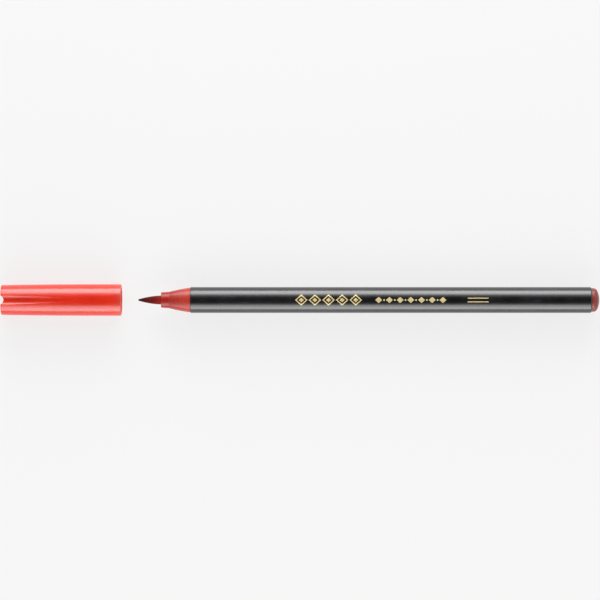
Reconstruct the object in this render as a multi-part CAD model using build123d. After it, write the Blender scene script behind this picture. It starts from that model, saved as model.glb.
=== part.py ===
from build123d import *
from math import radians, sin, sqrt
import os

# A capped brush pen with a firm fibre nib, lying along X with its nib towards -X and its cap drawn off
# in line with it. The pen turns about one axis, the pen axis, which lies over the X axis.
# Z = 0 is the surface that the cap rests on, and X = 0 is half way along the whole set.
# All sizes are in millimetres.

# Barrel
BARREL_DIAMETER = 8.5
BARREL_LENGTH = 131.5
BARREL_WALL = 0.8
BARREL_FRONT_ROUND = 0.15
BARREL_REAR_ROUND = 0.45
BARREL_RIB_COUNT = 6
BARREL_RIB_HEIGHT = 0.42
BARREL_RIB_WIDTH = 0.6
BARREL_RIB_SETBACK = 1.0
RIB_ROOT = 0.3

# Nib
NIB_DIAMETER = 2.95
NIB_EXPOSED = 7.5
NIB_OGIVE_LENGTH = 8.4
NIB_TIP_RADIUS = 0.3
NIB_END_CHAMFER = 0.4
NIB_IN_WICK = 5.0

# Section, the front housing that holds the nib
SECTION_EXPOSED = 9.6
SECTION_STEP = 0.225
SECTION_THROAT_ROUND = 1.2
SECTION_FRONT_ROUND = 0.2
SECTION_REAR_ROUND = 0.1
SECTION_LAND = 0.4
SECTION_BULGE = 0.1
COLLAR_LENGTH = 2.6
COLLAR_WALL = 1.06
COLLAR_TAPER = 0.17
SECTION_TAIL = 10.0
SECTION_TAIL_WALL = 0.83
SECTION_CORE_DEPTH = 8.0

# End plug
PLUG_EXPOSED = 2.6
PLUG_STEP = 0.35
PLUG_DOME_RADIUS = 7.0
PLUG_CORNER_ROUND = 1.8
PLUG_SKIRT = 6.0
PLUG_SKIRT_WALL = 0.83

# Ink reservoir, a fibre wick in a wrap of thin film
FILM_THICKNESS = 0.1
WICK_EDGE_CHAMFER = 0.2

# Cap
CAP_GAP = 5.5
CAP_WALL = 0.84
CAP_GRIP = 17.35
CAP_TAPER_LENGTH = 30.0
CAP_TAPER_DROP = 0.29
CAP_EDGE_ROUND = 0.3
CAP_MOUTH_CHAMFER = 0.25
CAP_END_WALL = 1.1
CAP_LINER_WALL = 0.95
CAP_RECESS = 2.0
CAP_BULKHEAD = 1.0
CAP_RIB_COUNT = 4
CAP_RIB_WIDTH = 0.8
CAP_VENT_WIDTH = 1.6
FLUTE_WIDTH = 2.9
FLUTE_DEPTH = 0.72
FLUTE_LENGTH = 25.0
FLUTE_OVERRUN = 3.0
NOTCH_WIDTH = 2.9
NOTCH_DEPTH = 1.0
NOTCH_BEVEL = 0.5
NOTCH_BEVEL_HEIGHT = 0.55

# Liner, the inner cup of the cap that seals on the section's collar
LINER_WALL = 0.75
LINER_END_WALL = 0.8
LINER_TIP_ROOM = 1.2
LINER_LEAD_IN = 0.3
LINER_VENT_GAP = 0.4

# Clearances, each on the radius unless it says otherwise
BARREL_FIT = 0.02
NIB_FIT = 0.02
FILM_FIT = 0.02
WICK_END_FIT = 0.1
SNAP_HEIGHT = 0.12
SNAP_LENGTH = 0.8
SNAP_FIT = 0.02
LINER_FIT = 0.02
CAP_BARREL_FIT = 0.1
CAP_SECTION_FIT = 0.125
LINER_COLLAR_FIT = 0.05
CAP_SEAT_GAP = 0.05
COLLAR_SEAL_MARGIN = 0.3

# Radii that follow from the sizes above
barrel_radius = BARREL_DIAMETER / 2
bore_radius = barrel_radius - BARREL_WALL
nib_radius = NIB_DIAMETER / 2
section_radius = barrel_radius - SECTION_STEP
collar_front_radius = nib_radius + COLLAR_WALL
collar_radius = collar_front_radius + COLLAR_TAPER
tail_radius = bore_radius - BARREL_FIT
plug_radius = barrel_radius - PLUG_STEP
film_radius = bore_radius - BARREL_RIB_HEIGHT - FILM_FIT
wick_radius = film_radius - FILM_THICKNESS
liner_bore_radius = collar_radius + LINER_COLLAR_FIT
liner_radius = liner_bore_radius + LINER_WALL
cap_rear_bore_radius = liner_radius + LINER_VENT_GAP
cap_throat_radius = section_radius + CAP_SECTION_FIT
cap_bore_radius = barrel_radius + CAP_BARREL_FIT
# The cap clears the barrel at its mouth and its liner at the tapered end, with a full wall round each
cap_radius = max(cap_bore_radius + CAP_WALL, cap_rear_bore_radius + CAP_LINER_WALL + CAP_TAPER_DROP)
cap_end_radius = cap_radius - CAP_TAPER_DROP

# Depths inside the cap, from its closed end
liner_start = CAP_RECESS + CAP_BULKHEAD
seated_tip = liner_start + LINER_END_WALL + LINER_TIP_ROOM
liner_mouth = seated_tip + NIB_EXPOSED + COLLAR_LENGTH - COLLAR_SEAL_MARGIN
cap_shoulder = seated_tip + NIB_EXPOSED + SECTION_EXPOSED - CAP_SEAT_GAP
CAP_LENGTH = cap_shoulder + CAP_GRIP

# Places along the pen axis
overall_length = CAP_LENGTH + CAP_GAP + NIB_EXPOSED + SECTION_EXPOSED + BARREL_LENGTH + PLUG_EXPOSED
cap_end = -overall_length / 2
cap_mouth = cap_end + CAP_LENGTH
nib_tip = cap_mouth + CAP_GAP
section_front = nib_tip + NIB_EXPOSED
barrel_front = section_front + SECTION_EXPOSED
tail_end = barrel_front + SECTION_TAIL
barrel_rear = barrel_front + BARREL_LENGTH
skirt_front = barrel_rear - PLUG_SKIRT
wick_front = tail_end
wick_rear = skirt_front - WICK_END_FIT
nib_rear = wick_front + NIB_IN_WICK
section_snap = barrel_front + SECTION_TAIL / 2
plug_snap = barrel_rear - PLUG_SKIRT / 2
cap_travel = nib_tip - cap_end - seated_tip


def turned_corners(*corners):
    """The solid turned about the pen axis from the (x, radius) corners of a straight-sided outline."""
    return revolve(make_face(Polyline(*corners, close=True)), Axis.X, 360)


def arc_radius(run, rise):
    """The radius of an arc that leaves a level line and turns away from it by rise over a run."""
    return (run**2 + rise**2) / (2 * rise)


def arc_drop(radius, run):
    """How far such an arc has turned away after a run."""
    return radius - sqrt(radius**2 - run**2)


def rounded(face, places, radius):
    """The outline with the corners nearest to these places rounded."""
    chosen = [face.vertices().sort_by_distance(place)[0] for place in places]
    return fillet(chosen, radius)


def snap_ring(place, radius, height, length):
    """A ring with sloping flanks round the pen axis, for a snap bead or its groove."""
    half = length / 2
    return turned_corners(
        (place - half, radius - height),
        (place - half, radius),
        (place - half + height, radius + height),
        (place + half - height, radius + height),
        (place + half, radius),
        (place + half, radius - height),
    )


def make_barrel():
    """The black tube, with lengthwise ribs that carry the reservoir and a groove for each snap bead."""
    outline = make_face(
        Polyline(
            (barrel_front, bore_radius),
            (barrel_front, barrel_radius),
            (barrel_rear, barrel_radius),
            (barrel_rear, bore_radius),
            close=True,
        )
    )
    outline = rounded(outline, [(barrel_front, barrel_radius)], BARREL_FRONT_ROUND)
    outline = rounded(outline, [(barrel_rear, barrel_radius)], BARREL_REAR_ROUND)
    tube = revolve(outline, Axis.X, 360)
    rib_front = tail_end + BARREL_RIB_SETBACK
    rib_rear = skirt_front - BARREL_RIB_SETBACK
    rib_root = bore_radius + min(RIB_ROOT, BARREL_WALL / 2)
    rib_tip = bore_radius - BARREL_RIB_HEIGHT
    rib = Pos((rib_front + rib_rear) / 2, 0, (rib_root + rib_tip) / 2) * Box(
        rib_rear - rib_front, BARREL_RIB_WIDTH, rib_root - rib_tip
    )
    for index in range(BARREL_RIB_COUNT):
        tube += Rot(X=360 * index / BARREL_RIB_COUNT) * rib
    for place in (section_snap, plug_snap):
        tube -= snap_ring(place, bore_radius, SNAP_HEIGHT, SNAP_LENGTH + 2 * SNAP_FIT)
    return tube


def make_section():
    """The front housing: a short collar, a gently bulged flare, and a tail that snaps into the barrel."""
    flare_start = section_front + COLLAR_LENGTH
    flare_end = barrel_front - SECTION_LAND
    flare_middle = (collar_radius + section_radius) / 2 + SECTION_BULGE
    bore = nib_radius + NIB_FIT
    core = tail_radius - SECTION_TAIL_WALL
    core_start = tail_end - SECTION_CORE_DEPTH
    outline = make_face(
        [
            Polyline(
                (flare_end, section_radius),
                (barrel_front, section_radius),
                (barrel_front, tail_radius),
                (tail_end, tail_radius),
                (tail_end, core),
                (core_start, core),
                (core_start, bore),
                (section_front, bore),
                (section_front, collar_front_radius),
                (flare_start, collar_radius),
            ),
            ThreePointArc(
                (flare_start, collar_radius),
                ((flare_start + flare_end) / 2, flare_middle),
                (flare_end, section_radius),
            ),
        ]
    )
    outline = rounded(outline, [(flare_start, collar_radius)], SECTION_THROAT_ROUND)
    outline = rounded(outline, [(section_front, collar_front_radius)], SECTION_FRONT_ROUND)
    outline = rounded(outline, [(barrel_front, section_radius)], SECTION_REAR_ROUND)
    housing = revolve(outline, Axis.X, 360)
    return housing + snap_ring(section_snap, tail_radius, SNAP_HEIGHT, SNAP_LENGTH)


def make_nib():
    """The firm fibre nib: an ogive with a rounded tip on a stem that runs back into the wick."""
    ogive_end = nib_tip + NIB_OGIVE_LENGTH
    reach = NIB_OGIVE_LENGTH - NIB_TIP_RADIUS
    half = reach / 2
    middle = nib_radius - arc_drop(arc_radius(reach, nib_radius - NIB_TIP_RADIUS), half)
    round_half = NIB_TIP_RADIUS * sin(radians(45))
    tip_centre = nib_tip + NIB_TIP_RADIUS
    outline = make_face(
        [
            ThreePointArc(
                (nib_tip, 0),
                (tip_centre - round_half, round_half),
                (tip_centre, NIB_TIP_RADIUS),
            ),
            ThreePointArc(
                (tip_centre, NIB_TIP_RADIUS),
                (ogive_end - half, middle),
                (ogive_end, nib_radius),
            ),
            Polyline(
                (ogive_end, nib_radius),
                (nib_rear - NIB_END_CHAMFER, nib_radius),
                (nib_rear, nib_radius - NIB_END_CHAMFER),
                (nib_rear, 0),
                (nib_tip, 0),
            ),
        ]
    )
    return revolve(outline, Axis.X, 360)


def make_wick():
    """The fibre wick that holds the ink, with a socket for the nib's stem."""
    return turned_corners(
        (wick_front, nib_radius + NIB_FIT),
        (wick_front, wick_radius - WICK_EDGE_CHAMFER),
        (wick_front + WICK_EDGE_CHAMFER, wick_radius),
        (wick_rear - WICK_EDGE_CHAMFER, wick_radius),
        (wick_rear, wick_radius - WICK_EDGE_CHAMFER),
        (wick_rear, 0),
        (nib_rear + NIB_FIT, 0),
        (nib_rear + NIB_FIT, nib_radius + NIB_FIT),
    )


def make_film():
    """The film wrapped round the wick."""
    return turned_corners(
        (wick_front, wick_radius),
        (wick_front, film_radius),
        (wick_rear, film_radius),
        (wick_rear, wick_radius),
    )


def make_plug():
    """The plug that closes the barrel: a domed button with a hollow skirt."""
    button_end = barrel_rear + PLUG_EXPOSED
    dome_edge = button_end - arc_drop(PLUG_DOME_RADIUS, plug_radius)
    half = plug_radius / 2
    dome_middle = button_end - arc_drop(PLUG_DOME_RADIUS, half)
    core = tail_radius - PLUG_SKIRT_WALL
    outline = make_face(
        [
            Polyline(
                (button_end, 0),
                (barrel_rear, 0),
                (barrel_rear, core),
                (skirt_front, core),
                (skirt_front, tail_radius),
                (barrel_rear, tail_radius),
                (barrel_rear, plug_radius),
                (dome_edge, plug_radius),
            ),
            ThreePointArc((dome_edge, plug_radius), (dome_middle, half), (button_end, 0)),
        ]
    )
    corner = min(PLUG_CORNER_ROUND, dome_edge - barrel_rear)
    outline = rounded(outline, [(dome_edge, plug_radius)], corner)
    plug = revolve(outline, Axis.X, 360)
    return plug + snap_ring(plug_snap, tail_radius, SNAP_HEIGHT, SNAP_LENGTH)


def cap_outer_radius(depth):
    """The cap's outer radius at a depth from its closed end."""
    left = max(CAP_TAPER_LENGTH - depth, 0)
    return cap_radius - arc_drop(arc_radius(CAP_TAPER_LENGTH, CAP_TAPER_DROP), left)


def make_cap_shell():
    """The cap: a slightly tapered sleeve with a recessed, vented end and a shoulder that stops the barrel."""
    taper_end = cap_end + CAP_TAPER_LENGTH
    taper_middle = CAP_TAPER_LENGTH / 2
    end_bore = cap_end_radius - CAP_END_WALL
    outline = make_face(
        [
            Polyline(
                (taper_end, cap_radius),
                (cap_mouth, cap_radius),
                (cap_mouth, cap_bore_radius + CAP_MOUTH_CHAMFER),
                (cap_mouth - CAP_MOUTH_CHAMFER, cap_bore_radius),
                (cap_end + cap_shoulder, cap_bore_radius),
                (cap_end + cap_shoulder, cap_throat_radius),
                (cap_end + liner_mouth, cap_throat_radius),
                (cap_end + liner_mouth, cap_rear_bore_radius),
                (cap_end + liner_start, cap_rear_bore_radius),
                (cap_end + liner_start, 0),
                (cap_end + CAP_RECESS, 0),
                (cap_end + CAP_RECESS, end_bore),
                (cap_end, end_bore),
                (cap_end, cap_end_radius),
            ),
            ThreePointArc(
                (cap_end, cap_end_radius),
                (cap_end + taper_middle, cap_outer_radius(taper_middle)),
                (taper_end, cap_radius),
            ),
        ]
    )
    outline = rounded(outline, [(cap_end, cap_end_radius)], CAP_EDGE_ROUND)
    outline = rounded(outline, [(cap_mouth, cap_radius)], CAP_EDGE_ROUND)
    shell = revolve(outline, Axis.X, 360)
    return shell - cap_vents() - cap_flutes() - cap_notch() + cap_ribs()


def cap_ribs():
    """Ribs inside the cap that centre the liner and leave air channels between them."""
    tip = liner_radius + LINER_FIT
    root = cap_rear_bore_radius + min(RIB_ROOT, CAP_WALL / 2)
    rib_length = liner_mouth - liner_start - LINER_LEAD_IN
    rib = Pos(cap_end + liner_start + rib_length / 2, 0, (tip + root) / 2) * Box(
        rib_length, CAP_RIB_WIDTH, root - tip
    )
    return [Rot(X=360 * (index + 0.5) / CAP_RIB_COUNT) * rib for index in range(CAP_RIB_COUNT)]


def cap_vents():
    """Windows through the bulkhead, between the ribs, that let air past the liner."""
    middle = cap_end + CAP_RECESS + CAP_BULKHEAD / 2
    end_bore = cap_end_radius - CAP_END_WALL
    low = liner_radius - LINER_VENT_GAP
    high = min(cap_rear_bore_radius, end_bore)
    window = Pos(middle, 0, (low + high) / 2) * Box(2 * CAP_BULKHEAD, CAP_VENT_WIDTH, high - low)
    return [Rot(X=360 * index / CAP_RIB_COUNT) * window for index in range(CAP_RIB_COUNT)]


def cap_flutes():
    """Two shallow round flutes, above and below, that run out along the cap from its closed end."""
    half_width = FLUTE_WIDTH / 2
    crown = arc_drop(cap_end_radius, half_width)
    cutter_radius = arc_radius(half_width, FLUTE_DEPTH - crown)
    start = Vector(cap_end, 0, cap_end_radius - FLUTE_DEPTH + cutter_radius)
    finish = Vector(cap_end + FLUTE_LENGTH, 0, cap_outer_radius(FLUTE_LENGTH) + cutter_radius)
    middle = (start + finish) / 2
    cutter = Plane(origin=middle, z_dir=finish - start) * Cylinder(
        cutter_radius, FLUTE_LENGTH + 2 * FLUTE_OVERRUN
    )
    return [cutter, Rot(X=180) * cutter]


def cap_notch():
    """The half-round notch across the closed end, in line with the flutes and bevelled outside."""
    radius = arc_radius(NOTCH_WIDTH / 2, NOTCH_DEPTH)
    centre = cap_end + NOTCH_DEPTH - radius
    through = Cylinder(radius, 2 * cap_radius)
    bevel = Pos(0, 0, cap_end_radius - NOTCH_BEVEL_HEIGHT) * Cone(
        radius,
        radius + 2 * NOTCH_BEVEL,
        2 * NOTCH_BEVEL_HEIGHT,
        align=(Align.CENTER, Align.CENTER, Align.MIN),
    )
    return [Pos(centre, 0, 0) * cutter for cutter in (through, bevel, Rot(X=180) * bevel)]


def make_liner():
    """The inner cup that seals on the section's collar and keeps the nib wet."""
    floor = cap_end + liner_start
    mouth = cap_end + liner_mouth
    return turned_corners(
        (floor, 0),
        (floor, liner_radius),
        (mouth, liner_radius),
        (mouth, liner_bore_radius + LINER_LEAD_IN),
        (mouth - LINER_LEAD_IN, liner_bore_radius),
        (floor + LINER_END_WALL, liner_bore_radius),
        (floor + LINER_END_WALL, 0),
    )


PARTS = {
    "cap_shell": make_cap_shell,
    "cap_liner": make_liner,
    "section": make_section,
    "brush_nib": make_nib,
    "barrel": make_barrel,
    "ink_reservoir": make_wick,
    "reservoir_film": make_film,
    "end_plug": make_plug,
}

os.makedirs("parts", exist_ok=True)
for name, make in PARTS.items():
    export_step(Pos(0, 0, cap_radius) * make(), f"parts/{name}.step")

print(f"overall length {overall_length:.2f}, cap {CAP_LENGTH:.2f} long, {2 * cap_radius:.2f} across")
print(f"cap travel to its seat {cap_travel:.2f}")
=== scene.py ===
# A felt brush pen with its cap drawn off and laid in line ahead of the nib.
import math

import bpy
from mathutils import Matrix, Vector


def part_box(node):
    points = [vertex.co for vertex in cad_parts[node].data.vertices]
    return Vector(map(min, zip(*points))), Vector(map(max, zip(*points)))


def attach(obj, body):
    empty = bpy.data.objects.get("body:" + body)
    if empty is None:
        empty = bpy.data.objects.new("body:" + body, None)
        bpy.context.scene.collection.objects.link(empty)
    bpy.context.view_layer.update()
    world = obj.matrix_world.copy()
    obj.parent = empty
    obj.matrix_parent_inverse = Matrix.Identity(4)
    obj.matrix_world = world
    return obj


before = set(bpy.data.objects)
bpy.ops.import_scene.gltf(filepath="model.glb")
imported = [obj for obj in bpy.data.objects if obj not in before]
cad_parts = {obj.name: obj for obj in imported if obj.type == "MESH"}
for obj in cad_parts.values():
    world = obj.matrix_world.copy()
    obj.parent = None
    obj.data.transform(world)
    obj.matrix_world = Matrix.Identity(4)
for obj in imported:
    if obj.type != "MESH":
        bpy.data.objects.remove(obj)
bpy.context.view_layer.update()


# Ink reservoir
# A round bundle of crimped polyester fibre that holds the ink, cut to length from a long rod.
# It is pushed into the barrel from the rear and feeds the stem of the nib.

MM = 0.001
BUNDLE_RED = "#7A120E"
BUNDLE_DEEP_RED = "#4C0A09"
BUNDLE_STREAK_WIDTH = 0.16 * MM
BUNDLE_STREAK_LENGTH = 6.0 * MM
FINE_DETAIL = 3.0
SOFT_DETAIL = 2.0


def linear(hex_colour):
    """An sRGB hex colour as linear red, green, blue and alpha."""
    parts = [int(hex_colour[i:i + 2], 16) / 255 for i in (1, 3, 5)]
    curved = [c / 12.92 if c <= 0.04045 else ((c + 0.055) / 1.055) ** 2.4 for c in parts]
    return (*curved, 1.0)


def add_node(tree, kind, settings=None, inputs=None):
    """A shader node with its settings, and its inputs set to values or linked to outputs."""
    made = tree.nodes.new(kind)
    for name, value in (settings or {}).items():
        setattr(made, name, value)
    for name, value in (inputs or {}).items():
        if isinstance(value, bpy.types.NodeSocket):
            tree.links.new(value, made.inputs[name])
        else:
            made.inputs[name].default_value = value
    return made


def start_material(name):
    """An empty material, its node tree and the place of each point on the pen in metres."""
    material = bpy.data.materials.new(name)
    material.use_nodes = True
    material.node_tree.nodes.clear()
    place = add_node(material.node_tree, "ShaderNodeTexCoord").outputs["Object"]
    return material, material.node_tree, place


def finish_material(tree, surface):
    """Joins the surface shader to the material's output."""
    add_node(tree, "ShaderNodeOutputMaterial", inputs={"Surface": surface.outputs[0]})


def blend_stops(ramp, stops):
    """Gives a colour ramp these (position, hex colour) stops."""
    while len(ramp.elements) < len(stops):
        ramp.elements.new(1.0)
    for element, (position, colour) in zip(ramp.elements, stops):
        element.position = position
        element.color = linear(colour)


def clothe(piece, material):
    """Gives a piece one material all over."""
    piece.data.materials.clear()
    piece.data.materials.append(material)


# Ink-soaked polyester fibre, drawn and bonded: matt, with fine streaks along the bundle.
fibre_bundle, tree, place = start_material("ink_soaked_polyester_fibre")
along_bundle = add_node(tree, "ShaderNodeMapping", inputs={
    "Vector": place, "Scale": (BUNDLE_STREAK_WIDTH / BUNDLE_STREAK_LENGTH, 1, 1)})
streaks = add_node(tree, "ShaderNodeTexNoise", inputs={
    "Vector": along_bundle.outputs[0], "Scale": 1 / BUNDLE_STREAK_WIDTH, "Detail": FINE_DETAIL})
bundle_colour = add_node(tree, "ShaderNodeValToRGB", inputs={"Fac": streaks.outputs["Fac"]})
blend_stops(bundle_colour.color_ramp, [(0.35, BUNDLE_DEEP_RED), (0.65, BUNDLE_RED)])
bundle_roughness = add_node(tree, "ShaderNodeMapRange", inputs={
    "Value": streaks.outputs["Fac"], "To Min": 0.95, "To Max": 0.75})
bundle_relief = add_node(tree, "ShaderNodeBump", inputs={
    "Height": streaks.outputs["Fac"], "Strength": 0.6, "Distance": 0.05 * MM})
finish_material(tree, add_node(tree, "ShaderNodeBsdfPrincipled", inputs={
    "Base Color": bundle_colour.outputs["Color"], "Roughness": bundle_roughness.outputs[0],
    "Normal": bundle_relief.outputs[0], "IOR": 1.5}))
clothe(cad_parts["ink_reservoir"], fibre_bundle)


# Reservoir wrap
# A clear polypropylene film, a tenth of a millimetre thick, that is wound round the fibre bundle.
# It keeps the ink off the barrel wall and shows the wet bundle through it.

FILM_TINT = "#F3E6E2"
FILM_CRINKLE = 2.5 * MM

# Clear film, cast and wound: glossy, with soft crinkles where it was drawn round the bundle.
clear_film, tree, place = start_material("clear_polypropylene_film")
crinkle = add_node(tree, "ShaderNodeTexNoise", inputs={
    "Vector": place, "Scale": 1 / FILM_CRINKLE, "Detail": SOFT_DETAIL})
film_roughness = add_node(tree, "ShaderNodeMapRange", inputs={
    "Value": crinkle.outputs["Fac"], "To Min": 0.04, "To Max": 0.16})
film_relief = add_node(tree, "ShaderNodeBump", inputs={
    "Height": crinkle.outputs["Fac"], "Strength": 0.4, "Distance": 0.1 * MM})
finish_material(tree, add_node(tree, "ShaderNodeBsdfPrincipled", inputs={
    "Base Color": linear(FILM_TINT), "Roughness": film_roughness.outputs[0],
    "Normal": film_relief.outputs[0], "IOR": 1.49, "Transmission Weight": 0.9}))
clothe(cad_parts["reservoir_film"], clear_film)


# Brush nib
# A springy rod of bonded felt fibre, ground to a long bullet point, with its stem in the wick.
# Ink has stained it dark all through, and it is darkest at the point, where ink gathers.

nib_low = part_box("brush_nib")[0]
section_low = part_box("section")[0]
NIB_STREAK_WIDTH = 0.11 * MM
NIB_STREAK_LENGTH = 1.6 * MM
NIB_FUZZ = 0.05 * MM
NIB_FUZZ_SHARE = 0.3
NOISE_LOW = 0.3
NOISE_HIGH = 0.7
NIB_STAIN = [
    (0.0, "#30131A"), (0.2, "#45130F"), (0.45, "#5A1410"), (0.75, "#72130C"), (1.0, "#8F2A1F")]

# Bonded polyester felt, ground and soaked: a dull surface with lengthwise fibres and a damp sheen.
felt, tree, place = start_material("ground_felt_fibre")
nib_run = add_node(tree, "ShaderNodeSeparateXYZ", inputs={"Vector": place})
from_tip = add_node(tree, "ShaderNodeMapRange", inputs={
    "Value": nib_run.outputs["X"], "From Min": nib_low.x, "From Max": section_low.x})
stain = add_node(tree, "ShaderNodeValToRGB", inputs={"Fac": from_tip.outputs[0]})
blend_stops(stain.color_ramp, NIB_STAIN)
along_nib = add_node(tree, "ShaderNodeMapping", inputs={
    "Vector": place, "Scale": (NIB_STREAK_WIDTH / NIB_STREAK_LENGTH, 1, 1)})
nib_streaks = add_node(tree, "ShaderNodeTexNoise", inputs={
    "Vector": along_nib.outputs[0], "Scale": 1 / NIB_STREAK_WIDTH, "Detail": FINE_DETAIL})
fuzz = add_node(tree, "ShaderNodeTexNoise", inputs={
    "Vector": place, "Scale": 1 / NIB_FUZZ, "Detail": SOFT_DETAIL})
streak_value = add_node(tree, "ShaderNodeMapRange", inputs={
    "Value": nib_streaks.outputs["Fac"], "From Min": NOISE_LOW, "From Max": NOISE_HIGH,
    "To Min": 0.55, "To Max": 1.5})
nib_colour = add_node(tree, "ShaderNodeHueSaturation", inputs={
    "Color": stain.outputs["Color"], "Value": streak_value.outputs[0]})
nib_roughness = add_node(tree, "ShaderNodeMapRange", inputs={
    "Value": nib_streaks.outputs["Fac"], "From Min": NOISE_LOW, "From Max": NOISE_HIGH,
    "To Min": 0.6, "To Max": 0.85})
nib_height = add_node(tree, "ShaderNodeMath", {"operation": "MULTIPLY_ADD"}, {
    0: fuzz.outputs["Fac"], 1: NIB_FUZZ_SHARE, 2: nib_streaks.outputs["Fac"]})
nib_relief = add_node(tree, "ShaderNodeBump", inputs={
    "Height": nib_height.outputs[0], "Strength": 0.5, "Distance": 0.06 * MM})
finish_material(tree, add_node(tree, "ShaderNodeBsdfPrincipled", inputs={
    "Base Color": nib_colour.outputs["Color"], "Roughness": nib_roughness.outputs[0],
    "Normal": nib_relief.outputs[0], "IOR": 1.5, "Specular IOR Level": 0.12}))
clothe(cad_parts["brush_nib"], felt)


# Section
# The injection-moulded nose that grips the nib and plugs the front of the barrel.
# It is moulded in a see-through red polypropylene. Its colour is painted darker toward the nose, as
# painted shade where the dark stem shows through the wall.

SECTION_STEM_SHADED_RED = "#A42013"
SECTION_PALE_RED = "#B93A2E"
SECTION_GRAIN = 0.35 * MM
SECTION_TURN_WIDTH = 0.12 * MM
SECTION_SMUDGE = 3.5 * MM
SECTION_CLOUD_SHARE = 0.25
SECTION_RING_SHARE = 0.35
SECTION_RING_STRETCH = 0.08

# Tinted polypropylene, moulded and polished: glossy, a little see-through, with faint turned rings
# from its mould.
tinted_plastic, tree, place = start_material("tinted_moulded_polypropylene")
section_run = add_node(tree, "ShaderNodeSeparateXYZ", inputs={"Vector": place})
# Painted shade: the colour is darker toward the nose, where the dark stem shows through, and paler
# toward the barrel. The random clouds are the plastic's own tone.
stem_shade_run = add_node(tree, "ShaderNodeMapRange", inputs={
    "Value": section_run.outputs["X"], "From Min": section_low.x, "From Max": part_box("barrel")[0].x})
section_clouds = add_node(tree, "ShaderNodeTexNoise", inputs={
    "Vector": place, "Scale": 1 / SECTION_SMUDGE, "Detail": FINE_DETAIL})
section_clouds_and_stem_shade = add_node(tree, "ShaderNodeMath", {"operation": "MULTIPLY_ADD"}, {
    0: section_clouds.outputs["Fac"], 1: SECTION_CLOUD_SHARE, 2: stem_shade_run.outputs[0]})
section_colour = add_node(tree, "ShaderNodeValToRGB", inputs={"Fac": section_clouds_and_stem_shade.outputs[0]})
blend_stops(section_colour.color_ramp, [(0.35, SECTION_STEM_SHADED_RED), (0.95, SECTION_PALE_RED)])
across_section = add_node(tree, "ShaderNodeMapping", inputs={
    "Vector": place, "Scale": (1, SECTION_RING_STRETCH, SECTION_RING_STRETCH)})
section_rings = add_node(tree, "ShaderNodeTexNoise", inputs={
    "Vector": across_section.outputs[0], "Scale": 1 / SECTION_TURN_WIDTH, "Detail": SOFT_DETAIL})
section_grain = add_node(tree, "ShaderNodeTexNoise", inputs={
    "Vector": place, "Scale": 1 / SECTION_GRAIN, "Detail": SOFT_DETAIL})
section_height = add_node(tree, "ShaderNodeMath", {"operation": "MULTIPLY_ADD"}, {
    0: section_rings.outputs["Fac"], 1: SECTION_RING_SHARE, 2: section_grain.outputs["Fac"]})
section_relief = add_node(tree, "ShaderNodeBump", inputs={
    "Height": section_height.outputs[0], "Strength": 0.12, "Distance": 0.03 * MM})
section_roughness = add_node(tree, "ShaderNodeMapRange", inputs={
    "Value": section_clouds.outputs["Fac"], "From Min": NOISE_LOW, "From Max": NOISE_HIGH,
    "To Min": 0.22, "To Max": 0.34})
finish_material(tree, add_node(tree, "ShaderNodeBsdfPrincipled", inputs={
    "Base Color": section_colour.outputs["Color"], "Roughness": section_roughness.outputs[0],
    "Normal": section_relief.outputs[0], "IOR": 1.49, "Subsurface Weight": 0.15,
    "Subsurface Radius": (1.0, 0.2, 0.1), "Subsurface Scale": 0.8 * MM}))
clothe(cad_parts["section"], tinted_plastic)


# Barrel
# A long straight tube, injection-moulded in black polypropylene, that holds the reservoir.
# The section snaps into its front and the plug into its rear.

barrel_low, barrel_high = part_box("barrel")
axis_height = (barrel_high.z + barrel_low.z) / 2
BARREL_BLACK = "#111113"
BARREL_GREY_BLACK = "#1B1B1E"
BARREL_CLOUD = 9.0 * MM
BARREL_GRAIN = 0.4 * MM
BARREL_SCRATCH_WIDTH = 0.1 * MM
BARREL_SCRATCH_LENGTH = 5.0 * MM
BARREL_RUB_ROUGHNESS = 0.18
RUB_DETAIL = 1.0
RUB_START = 0.66
RUB_FULL = 0.72
RUB_RELIEF = -0.5

# Black polypropylene, moulded: satin gloss, slight clouding where hands have been, and fine
# lengthwise rubs.
black_plastic, tree, place = start_material("black_moulded_polypropylene")
barrel_clouds = add_node(tree, "ShaderNodeTexNoise", inputs={
    "Vector": place, "Scale": 1 / BARREL_CLOUD, "Detail": FINE_DETAIL})
barrel_colour = add_node(tree, "ShaderNodeValToRGB", inputs={"Fac": barrel_clouds.outputs["Fac"]})
blend_stops(barrel_colour.color_ramp, [(0.35, BARREL_BLACK), (0.7, BARREL_GREY_BLACK)])
along_barrel = add_node(tree, "ShaderNodeMapping", inputs={
    "Vector": place, "Scale": (BARREL_SCRATCH_WIDTH / BARREL_SCRATCH_LENGTH, 1, 1)})
barrel_rubs = add_node(tree, "ShaderNodeTexNoise", inputs={
    "Vector": along_barrel.outputs[0], "Scale": 1 / BARREL_SCRATCH_WIDTH, "Detail": RUB_DETAIL})
barrel_scratches = add_node(tree, "ShaderNodeMapRange", inputs={
    "Value": barrel_rubs.outputs["Fac"], "From Min": RUB_START, "From Max": RUB_FULL})
barrel_sheen = add_node(tree, "ShaderNodeMapRange", inputs={
    "Value": barrel_clouds.outputs["Fac"], "From Min": NOISE_LOW, "From Max": NOISE_HIGH,
    "To Min": 0.21, "To Max": 0.26})
barrel_roughness = add_node(tree, "ShaderNodeMath", {"operation": "MULTIPLY_ADD"}, {
    0: barrel_scratches.outputs[0], 1: BARREL_RUB_ROUGHNESS, 2: barrel_sheen.outputs[0]})
barrel_grain = add_node(tree, "ShaderNodeTexNoise", inputs={
    "Vector": place, "Scale": 1 / BARREL_GRAIN, "Detail": SOFT_DETAIL})
barrel_height = add_node(tree, "ShaderNodeMath", {"operation": "MULTIPLY_ADD"}, {
    0: barrel_scratches.outputs[0], 1: RUB_RELIEF, 2: barrel_grain.outputs["Fac"]})
barrel_relief = add_node(tree, "ShaderNodeBump", inputs={
    "Height": barrel_height.outputs[0], "Strength": 0.06, "Distance": 0.02 * MM})
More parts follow.
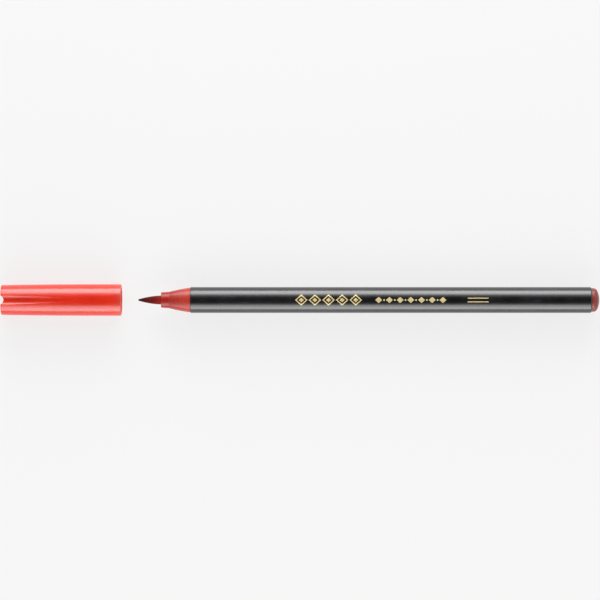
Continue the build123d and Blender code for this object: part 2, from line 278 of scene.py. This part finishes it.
finish_material(tree, add_node(tree, "ShaderNodeBsdfPrincipled", inputs={
    "Base Color": barrel_colour.outputs["Color"], "Roughness": barrel_roughness.outputs[0],
    "Normal": barrel_relief.outputs[0], "IOR": 1.5, "Specular IOR Level": 1.0}))
clothe(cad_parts["barrel"], black_plastic)


# Foil ornament
# A plain row of lozenges, dots and rules, stamped on the barrel in gold foil with a heated die.
# The foil is a skin bonded to the plastic, and each mark follows the barrel's curve.

FOIL_GOLD = "#F2DDA2"
FOIL_WORN_GOLD = "#CBAE6A"
FOIL_THICKNESS = 0.02 * MM
FOIL_LIFT = 0.012 * MM
FOIL_HEIGHT_ABOVE = 1.0 * MM
FOIL_SPECK = 0.22 * MM
FOIL_CUTS = 7
FOIL_SMOOTH_ANGLE = 40
LOZENGE_SIDES = 4
DOT_SIDES = 16
LARGE_LOZENGE = (4.1 * MM, 3.7 * MM)
LARGE_LOZENGE_LINE = 0.36 * MM
INNER_LOZENGE = (1.7 * MM, 1.5 * MM)
SMALL_LOZENGE = (2.3 * MM, 2.0 * MM)
DOT_DIAMETER = 0.62 * MM
RULE = (6.8 * MM, 0.3 * MM)
RULE_OFFSET = 0.6 * MM
RULE_CORNER_RADIUS = math.sqrt(0.5)    # a square one across, before it is drawn out
RULE_TURN = math.pi / 4
LARGE_ROW_START = 0.3 * MM
LARGE_ROW_PITCH = 4.45 * MM
LARGE_ROW_COUNT = 5
SMALL_ROW_START = 25.6 * MM
SMALL_ROW_PITCH = 3.5 * MM
SMALL_ROW_COUNT = 7
RULES_CENTRE = 58.1 * MM


def new_mark(name, sides, size, x, y, radius=0.5, turn=0.0):
    """A flat mark over the barrel's top at x and y, left selected in edit mode."""
    centre = (x, y, barrel_high.z + FOIL_HEIGHT_ABOVE)
    bpy.ops.object.select_all(action="DESELECT")
    bpy.ops.mesh.primitive_circle_add(
        vertices=sides, radius=radius, fill_type="NGON", rotation=(0, 0, turn), location=centre)
    mark = bpy.context.object
    mark.name = name
    bpy.ops.object.transform_apply(location=True, rotation=True, scale=False)
    bpy.ops.object.mode_set(mode="EDIT")
    bpy.ops.mesh.select_all(action="SELECT")
    bpy.ops.transform.resize(value=(size[0], size[1], 1), center_override=centre)
    return mark


def wrap_mark(mark):
    """Lays a flat mark on the barrel, gives it the foil's thickness, and finishes it."""
    bpy.ops.mesh.select_all(action="SELECT")
    bpy.ops.mesh.subdivide(number_cuts=FOIL_CUTS)
    bpy.ops.object.mode_set(mode="OBJECT")
    wrap = mark.modifiers.new("wrap", "SHRINKWRAP")
    wrap.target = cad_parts["barrel"]
    wrap.wrap_method = "PROJECT"
    wrap.use_project_z = True
    wrap.use_negative_direction = True
    wrap.use_positive_direction = False
    wrap.offset = FOIL_LIFT
    bpy.ops.object.modifier_apply(modifier=wrap.name)
    skin = mark.modifiers.new("skin", "SOLIDIFY")
    skin.thickness = FOIL_THICKNESS
    skin.offset = 1.0
    bpy.ops.object.modifier_apply(modifier=skin.name)
    bpy.ops.object.shade_smooth_by_angle(angle=math.radians(FOIL_SMOOTH_ANGLE))
    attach(mark, "pen")
    clothe(mark, gold_foil)


# Gold stamping foil, a vacuum-metallised film bonded by heat: warm soft shine and thin worn specks.
gold_foil, tree, place = start_material("stamped_gold_foil")
foil_specks = add_node(tree, "ShaderNodeTexNoise", inputs={
    "Vector": place, "Scale": 1 / FOIL_SPECK, "Detail": FINE_DETAIL})
foil_colour = add_node(tree, "ShaderNodeValToRGB", inputs={"Fac": foil_specks.outputs["Fac"]})
blend_stops(foil_colour.color_ramp, [(0.3, FOIL_WORN_GOLD), (0.48, FOIL_GOLD)])
foil_roughness = add_node(tree, "ShaderNodeMapRange", inputs={
    "Value": foil_specks.outputs["Fac"], "From Min": NOISE_LOW, "From Max": NOISE_HIGH,
    "To Min": 0.55, "To Max": 0.35})
foil_relief = add_node(tree, "ShaderNodeBump", inputs={
    "Height": foil_specks.outputs["Fac"], "Strength": 0.2, "Distance": 0.02 * MM})
finish_material(tree, add_node(tree, "ShaderNodeBsdfPrincipled", inputs={
    "Base Color": foil_colour.outputs["Color"], "Roughness": foil_roughness.outputs[0],
    "Normal": foil_relief.outputs[0], "Metallic": 0.35}))

for number in range(LARGE_ROW_COUNT):
    x = LARGE_ROW_START + number * LARGE_ROW_PITCH
    large = new_mark(f"foil_open_lozenge_{number + 1}", LOZENGE_SIDES, LARGE_LOZENGE, x, 0.0)
    bpy.ops.mesh.inset(thickness=LARGE_LOZENGE_LINE)
    bpy.ops.mesh.delete(type="FACE")
    wrap_mark(large)
    wrap_mark(new_mark(f"foil_inner_lozenge_{number + 1}", LOZENGE_SIDES, INNER_LOZENGE, x, 0.0))
for number in range(SMALL_ROW_COUNT):
    x = SMALL_ROW_START + number * SMALL_ROW_PITCH
    wrap_mark(new_mark(f"foil_small_lozenge_{number + 1}", LOZENGE_SIDES, SMALL_LOZENGE, x, 0.0))
for number in range(SMALL_ROW_COUNT - 1):
    x = SMALL_ROW_START + (number + 0.5) * SMALL_ROW_PITCH
    wrap_mark(new_mark(f"foil_dot_{number + 1}", DOT_SIDES, (DOT_DIAMETER, DOT_DIAMETER), x, 0.0))
for number, y in enumerate((RULE_OFFSET, -RULE_OFFSET)):
    wrap_mark(new_mark(
        f"foil_rule_{number + 1}", LOZENGE_SIDES, RULE, RULES_CENTRE, y, RULE_CORNER_RADIUS, RULE_TURN))


# End plug
# A moulded cup in dull red polypropylene that closes the rear of the barrel and shows the ink's colour.
# It is pushed in until its rounded end is all that stands out, and two snap rings hold it.

plug_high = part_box("end_plug")[1]
PLUG_RED = "#8C3831"
PLUG_SHADED_RED = "#6E2018"
PLUG_CLOUD = 1.6 * MM
PLUG_GRAIN = 0.3 * MM
PLUG_CLOUD_SHARE = 0.12

# Tinted polypropylene, moulded: satin, with painted shade that darkens its colour toward the rounded
# end.
plug_plastic, tree, place = start_material("dull_red_moulded_polypropylene")
plug_run = add_node(tree, "ShaderNodeSeparateXYZ", inputs={"Vector": place})
# Painted shade: the colour darkens toward the rounded end. The random clouds are the plastic's own
# tone.
plug_shade_run = add_node(tree, "ShaderNodeMapRange", inputs={
    "Value": plug_run.outputs["X"], "From Min": barrel_high.x, "From Max": plug_high.x})
plug_clouds = add_node(tree, "ShaderNodeTexNoise", inputs={
    "Vector": place, "Scale": 1 / PLUG_CLOUD, "Detail": FINE_DETAIL})
plug_clouds_and_shade = add_node(tree, "ShaderNodeMath", {"operation": "MULTIPLY_ADD"}, {
    0: plug_clouds.outputs["Fac"], 1: PLUG_CLOUD_SHARE, 2: plug_shade_run.outputs[0]})
plug_colour = add_node(tree, "ShaderNodeValToRGB", inputs={"Fac": plug_clouds_and_shade.outputs[0]})
blend_stops(plug_colour.color_ramp, [(0.45, PLUG_RED), (1.0, PLUG_SHADED_RED)])
plug_grain = add_node(tree, "ShaderNodeTexNoise", inputs={
    "Vector": place, "Scale": 1 / PLUG_GRAIN, "Detail": SOFT_DETAIL})
plug_relief = add_node(tree, "ShaderNodeBump", inputs={
    "Height": plug_grain.outputs["Fac"], "Strength": 0.15, "Distance": 0.03 * MM})
plug_roughness = add_node(tree, "ShaderNodeMapRange", inputs={
    "Value": plug_clouds.outputs["Fac"], "From Min": NOISE_LOW, "From Max": NOISE_HIGH,
    "To Min": 0.26, "To Max": 0.34})
finish_material(tree, add_node(tree, "ShaderNodeBsdfPrincipled", inputs={
    "Base Color": plug_colour.outputs["Color"], "Roughness": plug_roughness.outputs[0],
    "Normal": plug_relief.outputs[0], "IOR": 1.49}))
clothe(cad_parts["end_plug"], plug_plastic)


# Cap liner
# A small cup of natural polyethylene inside the cap's closed end, pressed in along four ribs.
# Its mouth closes on the section's collar and keeps the nib from drying out.

LINER_WHITE = "#E6E1D6"
LINER_BLUSH = "#DDA79A"
LINER_CLOUD = 2.0 * MM
LINER_GRAIN = 0.3 * MM

# Natural polyethylene, moulded: waxy and milky, with faint clouds of ink blush.
milky_plastic, tree, place = start_material("natural_moulded_polyethylene")
liner_clouds = add_node(tree, "ShaderNodeTexNoise", inputs={
    "Vector": place, "Scale": 1 / LINER_CLOUD, "Detail": FINE_DETAIL})
liner_colour = add_node(tree, "ShaderNodeValToRGB", inputs={"Fac": liner_clouds.outputs["Fac"]})
blend_stops(liner_colour.color_ramp, [(0.45, LINER_WHITE), (0.8, LINER_BLUSH)])
liner_grain = add_node(tree, "ShaderNodeTexNoise", inputs={
    "Vector": place, "Scale": 1 / LINER_GRAIN, "Detail": SOFT_DETAIL})
liner_relief = add_node(tree, "ShaderNodeBump", inputs={
    "Height": liner_grain.outputs["Fac"], "Strength": 0.2, "Distance": 0.03 * MM})
liner_roughness = add_node(tree, "ShaderNodeMapRange", inputs={
    "Value": liner_clouds.outputs["Fac"], "From Min": NOISE_LOW, "From Max": NOISE_HIGH,
    "To Min": 0.4, "To Max": 0.55})
finish_material(tree, add_node(tree, "ShaderNodeBsdfPrincipled", inputs={
    "Base Color": liner_colour.outputs["Color"], "Roughness": liner_roughness.outputs[0],
    "Normal": liner_relief.outputs[0], "IOR": 1.51, "Subsurface Weight": 0.3,
    "Subsurface Radius": (1.0, 0.9, 0.8), "Subsurface Scale": 0.8 * MM}))
clothe(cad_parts["cap_liner"], milky_plastic)


# Cap
# A thin-walled red cap, injection-moulded in polypropylene, with two finger flutes and a notched end.
# It slides over the section and grips the barrel. Its colour is painted paler toward the mouth, a
# painted glow of light through the thinner wall there.

cap_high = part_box("cap_shell")[1]
CAP_RED = "#E2321B"
CAP_DEEP_RED = "#DC2C16"
CAP_PAINTED_GLOW_RED = "#D64537"
CAP_CLOUD = 6.0 * MM
CAP_GRAIN = 0.4 * MM
CAP_RUB_WIDTH = 0.09 * MM
CAP_RUB_LENGTH = 4.0 * MM
CAP_PAINTED_GLOW_LENGTH = 3.0 * MM
CAP_GLOW_DEPTH = 1.8 * MM
CAP_RUB_ROUGHNESS = 0.15
MIX_FACTOR, MIX_FIRST, MIX_SECOND, MIXED = 0, 6, 7, 2    # the colour sockets of a Mix node

# Red polypropylene, moulded in a polished mould: glossy, slightly clouded, with faint lengthwise
# draw marks.
red_plastic, tree, place = start_material("red_moulded_polypropylene")
cap_run = add_node(tree, "ShaderNodeSeparateXYZ", inputs={"Vector": place})
cap_clouds = add_node(tree, "ShaderNodeTexNoise", inputs={
    "Vector": place, "Scale": 1 / CAP_CLOUD, "Detail": FINE_DETAIL})
cap_body_colour = add_node(tree, "ShaderNodeValToRGB", inputs={"Fac": cap_clouds.outputs["Fac"]})
blend_stops(cap_body_colour.color_ramp, [(0.35, CAP_DEEP_RED), (0.65, CAP_RED)])
# Painted glow: over the last few millimetres before the mouth the colour turns paler, standing in for
# light through the thin wall.
painted_mouth_glow = add_node(tree, "ShaderNodeMapRange", {"interpolation_type": "SMOOTHSTEP"}, {
    "Value": cap_run.outputs["X"], "From Min": cap_high.x - CAP_PAINTED_GLOW_LENGTH, "From Max": cap_high.x})
cap_colour = add_node(tree, "ShaderNodeMix", {"data_type": "RGBA"}, {
    MIX_FACTOR: painted_mouth_glow.outputs[0], MIX_FIRST: cap_body_colour.outputs["Color"],
    MIX_SECOND: linear(CAP_PAINTED_GLOW_RED)})
along_cap = add_node(tree, "ShaderNodeMapping", inputs={
    "Vector": place, "Scale": (CAP_RUB_WIDTH / CAP_RUB_LENGTH, 1, 1)})
cap_rubs = add_node(tree, "ShaderNodeTexNoise", inputs={
    "Vector": along_cap.outputs[0], "Scale": 1 / CAP_RUB_WIDTH, "Detail": RUB_DETAIL})
cap_scratches = add_node(tree, "ShaderNodeMapRange", inputs={
    "Value": cap_rubs.outputs["Fac"], "From Min": RUB_START, "From Max": RUB_FULL})
cap_sheen = add_node(tree, "ShaderNodeMapRange", inputs={
    "Value": cap_clouds.outputs["Fac"], "From Min": NOISE_LOW, "From Max": NOISE_HIGH,
    "To Min": 0.19, "To Max": 0.23})
cap_roughness = add_node(tree, "ShaderNodeMath", {"operation": "MULTIPLY_ADD"}, {
    0: cap_scratches.outputs[0], 1: CAP_RUB_ROUGHNESS, 2: cap_sheen.outputs[0]})
cap_grain = add_node(tree, "ShaderNodeTexNoise", inputs={
    "Vector": place, "Scale": 1 / CAP_GRAIN, "Detail": SOFT_DETAIL})
cap_height = add_node(tree, "ShaderNodeMath", {"operation": "MULTIPLY_ADD"}, {
    0: cap_scratches.outputs[0], 1: RUB_RELIEF, 2: cap_grain.outputs["Fac"]})
cap_relief = add_node(tree, "ShaderNodeBump", inputs={
    "Height": cap_height.outputs[0], "Strength": 0.06, "Distance": 0.02 * MM})
finish_material(tree, add_node(tree, "ShaderNodeBsdfPrincipled", inputs={
    "Base Color": cap_colour.outputs[MIXED], "Roughness": cap_roughness.outputs[0],
    "Normal": cap_relief.outputs[0], "IOR": 1.49, "Specular IOR Level": 0.85,
    "Subsurface Weight": 0.5, "Subsurface Radius": (1.0, 0.12, 0.06),
    "Subsurface Scale": CAP_GLOW_DEPTH}))
clothe(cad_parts["cap_shell"], red_plastic)


# Studio floor
# A wide sheet of matt white card that the pen lies on. It isn't part of the object.
# Where it is seen it is evened toward white, which leaves only a faint shadow.

FLOOR_WHITE = "#DCDCDC"
PURE_WHITE = "#FFFFFF"
FLOOR_SIZE = 12.0
FLOOR_TOOTH = 0.8 * MM
SHADOW_FADE = 0.72
bpy.ops.object.select_all(action="DESELECT")
bpy.ops.mesh.primitive_plane_add(size=FLOOR_SIZE, location=(0, 0, 0))
floor = bpy.context.object
floor.name = "floor"

# Matt white card: no shine to speak of, with a very fine tooth.
white_card, tree, place = start_material("matt_white_card")
card_tooth = add_node(tree, "ShaderNodeTexNoise", inputs={
    "Vector": place, "Scale": 1 / FLOOR_TOOTH, "Detail": SOFT_DETAIL})
card_roughness = add_node(tree, "ShaderNodeMapRange", inputs={
    "Value": card_tooth.outputs["Fac"], "To Min": 0.9, "To Max": 1.0})
lit_card = add_node(tree, "ShaderNodeBsdfPrincipled", inputs={
    "Base Color": linear(FLOOR_WHITE), "Roughness": card_roughness.outputs[0],
    "Specular IOR Level": 0.0})
even_card = add_node(tree, "ShaderNodeEmission", inputs={"Color": linear(PURE_WHITE), "Strength": 1.0})
ray = add_node(tree, "ShaderNodeLightPath")
seen_directly = add_node(tree, "ShaderNodeMath", {"operation": "MAXIMUM"}, {
    0: ray.outputs["Is Camera Ray"], 1: ray.outputs["Is Transmission Ray"]})
seen = add_node(tree, "ShaderNodeMath", {"operation": "MAXIMUM"}, {
    0: seen_directly.outputs[0], 1: ray.outputs["Is Glossy Ray"]})
evened = add_node(tree, "ShaderNodeMath", {"operation": "MULTIPLY"}, {
    0: seen.outputs[0], 1: SHADOW_FADE})
finish_material(tree, add_node(tree, "ShaderNodeMixShader", inputs={
    0: evened.outputs[0], 1: lit_card.outputs[0], 2: even_card.outputs[0]}))
clothe(floor, white_card)


# Light
# A long soft box stands low along each side of the pen, made of a bright lower and a dimmer upper lamp.
# Each draws a soft line of light along one shoulder, and the dark ceiling leaves the top clear.

BOX_LENGTH = 0.56
BOX_DISTANCE = 0.5
FLOOR_CLEARANCE = 0.01
SOFT_BOXES = [
    ("far_lower", 1, FLOOR_CLEARANCE, 0.30, 4.9), ("far_upper", 1, 0.30, 0.42, 3.0),
    ("near_lower", -1, FLOOR_CLEARANCE, 0.25, 3.5), ("near_upper", -1, 0.25, 0.50, 2.0)]
for name, side, bottom, top, brightness in SOFT_BOXES:
    lamp = bpy.data.lights.new(f"{name}_soft_box", "AREA")
    lamp.shape = "RECTANGLE"
    lamp.size = BOX_LENGTH
    lamp.size_y = top - bottom
    lamp.energy = brightness * math.pi * lamp.size * lamp.size_y
    box = bpy.data.objects.new(lamp.name, lamp)
    bpy.context.scene.collection.objects.link(box)
    box.location = (0, side * BOX_DISTANCE, (bottom + top) / 2)
    box.rotation_euler = (-side * math.pi / 2, 0, 0)
    box.visible_camera = False

STUDIO_LEVEL = 1.3
STUDIO_TONES = [
    (0.0, "#DADADA"), (0.12, "#C0C0C0"), (0.55, "#D4D4D4"), (0.68, "#ECECEC"),
    (0.8, "#B4B4B4"), (0.89, "#383838"), (1.0, "#0A0A0A")]
world = bpy.data.worlds.new("studio")
bpy.context.scene.world = world
world.use_nodes = True
tree = world.node_tree
tree.nodes.clear()
direction = add_node(tree, "ShaderNodeTexCoord").outputs["Generated"]
rise = add_node(tree, "ShaderNodeSeparateXYZ", inputs={"Vector": direction})
studio_tone = add_node(tree, "ShaderNodeValToRGB", inputs={"Fac": rise.outputs["Z"]})
blend_stops(studio_tone.color_ramp, STUDIO_TONES)
studio_air = add_node(tree, "ShaderNodeBackground", inputs={
    "Color": studio_tone.outputs["Color"], "Strength": STUDIO_LEVEL})
add_node(tree, "ShaderNodeOutputWorld", inputs={"Surface": studio_air.outputs[0]})


# Camera
# A camera with a long lens looks straight down on the pen.
# The pen's axis runs level across the middle of the view and nearly fills its width.

LENS = 200
SENSOR = 36
VIEW_WIDTH = 196.8 * MM
CAMERA_SHIFT = -0.115 * MM
camera_data = bpy.data.cameras.new("camera")
camera_data.lens = LENS
camera_data.sensor_width = SENSOR
camera = bpy.data.objects.new("camera", camera_data)
bpy.context.scene.collection.objects.link(camera)
camera.location = (CAMERA_SHIFT, 0.0, axis_height + VIEW_WIDTH * LENS / SENSOR)
bpy.context.scene.camera = camera
bpy.context.scene.view_settings.view_transform = "Standard"
